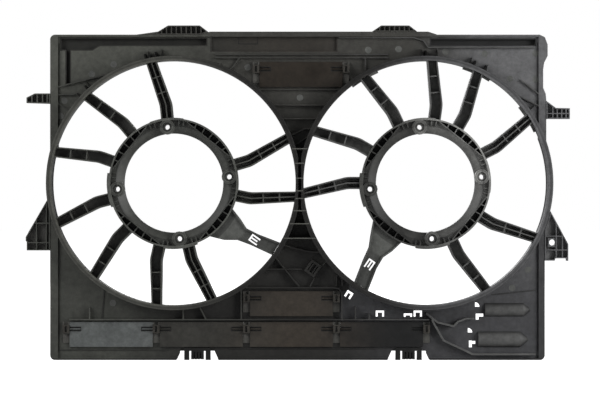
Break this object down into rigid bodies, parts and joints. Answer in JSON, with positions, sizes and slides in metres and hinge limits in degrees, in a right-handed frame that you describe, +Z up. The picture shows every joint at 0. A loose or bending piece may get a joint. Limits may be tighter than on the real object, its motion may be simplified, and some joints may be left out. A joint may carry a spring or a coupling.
{
  "type": "radiator fan shroud",
  "caption": "Moulded twin-fan radiator shroud with two barrels, motor rings on channel arms, cable ducts and hinged ram-air flaps.",
  "frame": {"origin": "on the floor plane under the middle of the part, level with the bottom edge of the body", "axes": "+X to the right seen from the engine side, +Y towards the radiator, +Z up as mounted"},
  "size_m": [0.7173, 0.06, 0.441],
  "materials": {
    "shroud_plastic": "matte moulded, fine grain",
    "flap_plastic": "matte moulded, slightly brown"
  },
  "bodies": {
    "root": {"barrel_gussets": "shroud_plastic", "bottom_rail": "shroud_plastic", "bottom_skirt": "shroud_plastic", "cable_tray": "shroud_plastic", "connector_clip": "shroud_plastic", "left_arm_1": "shroud_plastic", "left_arm_2": "shroud_plastic", "left_arm_3": "shroud_plastic", "left_arm_4": "shroud_plastic", "left_arm_5": "shroud_plastic", "left_arm_6": "shroud_plastic", "left_arm_7": "shroud_plastic", "left_arm_8": "shroud_plastic", "left_arm_9": "shroud_plastic", "left_bottom_clip": "shroud_plastic", "left_cable_duct": "shroud_plastic", "left_fan_barrel": "shroud_plastic", "left_lower_bracket": "shroud_plastic", "left_motor_ring": "shroud_plastic", "left_skirt": "shroud_plastic", "left_top_tab": "shroud_plastic", "left_upper_ear": "shroud_plastic", "lower_flap_frame": "shroud_plastic", "lower_hinge_posts": "shroud_plastic", "lower_left_panel": "shroud_plastic", "lower_ribs": "shroud_plastic", "lower_right_panel": "shroud_plastic", "middle_flap_frame": "shroud_plastic", "middle_hinge_posts": "shroud_plastic", "recess_trays": "shroud_plastic", "right_arm_1": "shroud_plastic", "right_arm_2": "shroud_plastic", "right_arm_3": "shroud_plastic", "right_arm_4": "shroud_plastic", "right_arm_5": "shroud_plastic", "right_arm_6": "shroud_plastic", "right_arm_7": "shroud_plastic", "right_arm_8": "shroud_plastic", "right_bottom_clip": "shroud_plastic", "right_cable_duct": "shroud_plastic", "right_fan_barrel": "shroud_plastic", "right_lower_bracket": "shroud_plastic", "right_motor_ring": "shroud_plastic", "right_skirt": "shroud_plastic", "right_top_tab": "shroud_plastic", "right_upper_ear": "shroud_plastic", "top_flap_frame": "shroud_plastic", "top_hinge_posts": "shroud_plastic", "top_skirt": "shroud_plastic", "upper_left_panel": "shroud_plastic", "upper_ribs": "shroud_plastic", "upper_right_panel": "shroud_plastic", "web_panel": "shroud_plastic", "web_ribs": "shroud_plastic"},
    "lower_flap_1": {"lower_flap_1": "flap_plastic"},
    "lower_flap_2": {"lower_flap_2": "flap_plastic"},
    "lower_flap_3": {"lower_flap_3": "flap_plastic"},
    "lower_flap_4": {"lower_flap_4": "flap_plastic"},
    "middle_flap": {"middle_flap": "flap_plastic"},
    "top_flap": {"top_flap": "flap_plastic"}
  },
  "joints": [
    {"name": "lower_flap_1_hinge", "type": "hinge", "parent": "root", "child": "lower_flap_1", "pos_m": [-0.247, -0.0024, 0.041], "axis": [-1, 0, 0], "range_deg": [0, 70]},
    {"name": "lower_flap_2_hinge", "type": "hinge", "parent": "root", "child": "lower_flap_2", "pos_m": [-0.1282, -0.0024, 0.041], "axis": [-1, 0, 0], "range_deg": [0, 70]},
    {"name": "lower_flap_3_hinge", "type": "hinge", "parent": "root", "child": "lower_flap_3", "pos_m": [-0.0094, -0.0024, 0.041], "axis": [-1, 0, 0], "range_deg": [0, 70]},
    {"name": "lower_flap_4_hinge", "type": "hinge", "parent": "root", "child": "lower_flap_4", "pos_m": [0.1094, -0.0024, 0.041], "axis": [-1, 0, 0], "range_deg": [0, 70]},
    {"name": "middle_flap_hinge", "type": "hinge", "parent": "root", "child": "middle_flap", "pos_m": [-0.0094, -0.0024, 0.0815], "axis": [-1, 0, 0], "range_deg": [0, 70]},
    {"name": "top_flap_hinge", "type": "hinge", "parent": "root", "child": "top_flap", "pos_m": [0.0033, -0.0024, 0.3837], "axis": [-1, 0, 0], "range_deg": [0, 70]}
  ]
}
